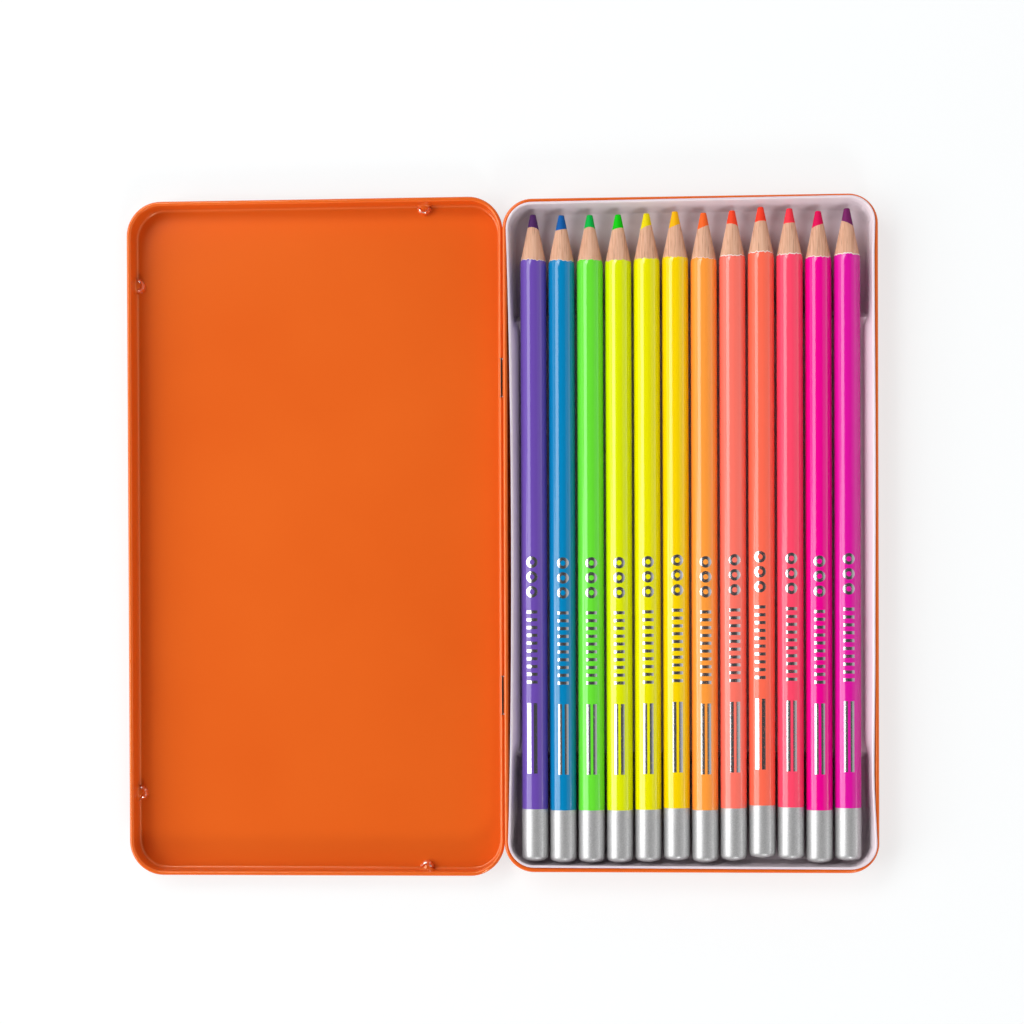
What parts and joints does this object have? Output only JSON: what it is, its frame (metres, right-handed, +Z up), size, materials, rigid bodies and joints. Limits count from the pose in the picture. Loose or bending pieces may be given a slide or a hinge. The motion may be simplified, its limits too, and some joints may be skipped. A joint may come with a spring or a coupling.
{
  "type": "colored pencil box",
  "caption": "Flat hinged metal tin, lid open flat, with a white formed insert that holds a row of round colored pencils with silver dipped ends.",
  "frame": {"origin": "middle of the base tin's underside", "axes": "+X from the lid across the pencils, +Y along the pencils to their tips, +Z up"},
  "size_m": [0.2039, 0.1842, 0.0103],
  "materials": {
    "orange_enamel": "gloss enamel",
    "hinge_steel": "bright drawn wire",
    "insert_white": "vacuum formed, satin",
    "pale_wood": "cut, bare",
    "silver_dip": "silver lacquer, satin",
    "violet_lacquer": "gloss lacquer",
    "violet_core": "waxy pigment core",
    "blue_lacquer": "gloss lacquer",
    "blue_core": "waxy pigment core",
    "green_lacquer": "gloss lacquer",
    "green_core": "waxy pigment core",
    "lime_lacquer": "gloss lacquer",
    "lime_core": "waxy pigment core",
    "lemon_lacquer": "gloss lacquer",
    "lemon_core": "waxy pigment core",
    "amber_lacquer": "gloss lacquer",
    "amber_core": "waxy pigment core",
    "orange_lacquer": "gloss lacquer",
    "orange_core": "waxy pigment core",
    "salmon_lacquer": "gloss lacquer",
    "salmon_core": "waxy pigment core",
    "coral_lacquer": "gloss lacquer",
    "coral_core": "waxy pigment core",
    "rose_lacquer": "gloss lacquer",
    "rose_core": "waxy pigment core",
    "magenta_lacquer": "gloss lacquer",
    "magenta_core": "waxy pigment core",
    "plum_lacquer": "gloss lacquer",
    "plum_core": "waxy pigment core"
  },
  "bodies": {
    "base": {"base_tin": "orange_enamel"},
    "lid": {"lid": "orange_enamel", "hinge_wire_upper": "hinge_steel", "hinge_wire_lower": "hinge_steel"},
    "insert": {"insert_tray": "insert_white"},
    "violet_pencil": {"violet_pencil_casing": "violet_lacquer", "violet_pencil_core": "violet_core"},
    "blue_pencil": {"blue_pencil_casing": "blue_lacquer", "blue_pencil_core": "blue_core"},
    "green_pencil": {"green_pencil_casing": "green_lacquer", "green_pencil_core": "green_core"},
    "lime_pencil": {"lime_pencil_casing": "lime_lacquer", "lime_pencil_core": "lime_core"},
    "lemon_pencil": {"lemon_pencil_casing": "lemon_lacquer", "lemon_pencil_core": "lemon_core"},
    "amber_pencil": {"amber_pencil_casing": "amber_lacquer", "amber_pencil_core": "amber_core"},
    "orange_pencil": {"orange_pencil_casing": "orange_lacquer", "orange_pencil_core": "orange_core"},
    "salmon_pencil": {"salmon_pencil_casing": "salmon_lacquer", "salmon_pencil_core": "salmon_core"},
    "coral_pencil": {"coral_pencil_casing": "coral_lacquer", "coral_pencil_core": "coral_core"},
    "rose_pencil": {"rose_pencil_casing": "rose_lacquer", "rose_pencil_core": "rose_core"},
    "magenta_pencil": {"magenta_pencil_casing": "magenta_lacquer", "magenta_pencil_core": "magenta_core"},
    "plum_pencil": {"plum_pencil_casing": "plum_lacquer", "plum_pencil_core": "plum_core"}
  },
  "joints": [
    {"name": "lid_hinge", "type": "hinge", "parent": "base", "child": "lid", "pos_m": [-0.05103, 0, 0.0065], "axis": [0, -1, 0], "range_deg": [-180, 0]},
    {"name": "insert_lift", "type": "slide", "parent": "base", "child": "insert", "axis": [0, 0, 1], "range_m": [0, 0.03]},
    {"name": "violet_pencil_lift", "type": "slide", "parent": "insert", "child": "violet_pencil", "axis": [0, 0, 1], "range_m": [0, 0.03]},
    {"name": "blue_pencil_lift", "type": "slide", "parent": "insert", "child": "blue_pencil", "axis": [0, 0, 1], "range_m": [0, 0.03]},
    {"name": "green_pencil_lift", "type": "slide", "parent": "insert", "child": "green_pencil", "axis": [0, 0, 1], "range_m": [0, 0.03]},
    {"name": "lime_pencil_lift", "type": "slide", "parent": "insert", "child": "lime_pencil", "axis": [0, 0, 1], "range_m": [0, 0.03]},
    {"name": "lemon_pencil_lift", "type": "slide", "parent": "insert", "child": "lemon_pencil", "axis": [0, 0, 1], "range_m": [0, 0.03]},
    {"name": "amber_pencil_lift", "type": "slide", "parent": "insert", "child": "amber_pencil", "axis": [0, 0, 1], "range_m": [0, 0.03]},
    {"name": "orange_pencil_lift", "type": "slide", "parent": "insert", "child": "orange_pencil", "axis": [0, 0, 1], "range_m": [0, 0.03]},
    {"name": "salmon_pencil_lift", "type": "slide", "parent": "insert", "child": "salmon_pencil", "axis": [0, 0, 1], "range_m": [0, 0.03]},
    {"name": "coral_pencil_lift", "type": "slide", "parent": "insert", "child": "coral_pencil", "axis": [0, 0, 1], "range_m": [0, 0.03]},
    {"name": "rose_pencil_lift", "type": "slide", "parent": "insert", "child": "rose_pencil", "axis": [0, 0, 1], "range_m": [0, 0.03]},
    {"name": "magenta_pencil_lift", "type": "slide", "parent": "insert", "child": "magenta_pencil", "axis": [0, 0, 1], "range_m": [0, 0.03]},
    {"name": "plum_pencil_lift", "type": "slide", "parent": "insert", "child": "plum_pencil", "axis": [0, 0, 1], "range_m": [0, 0.03]}
  ]
}
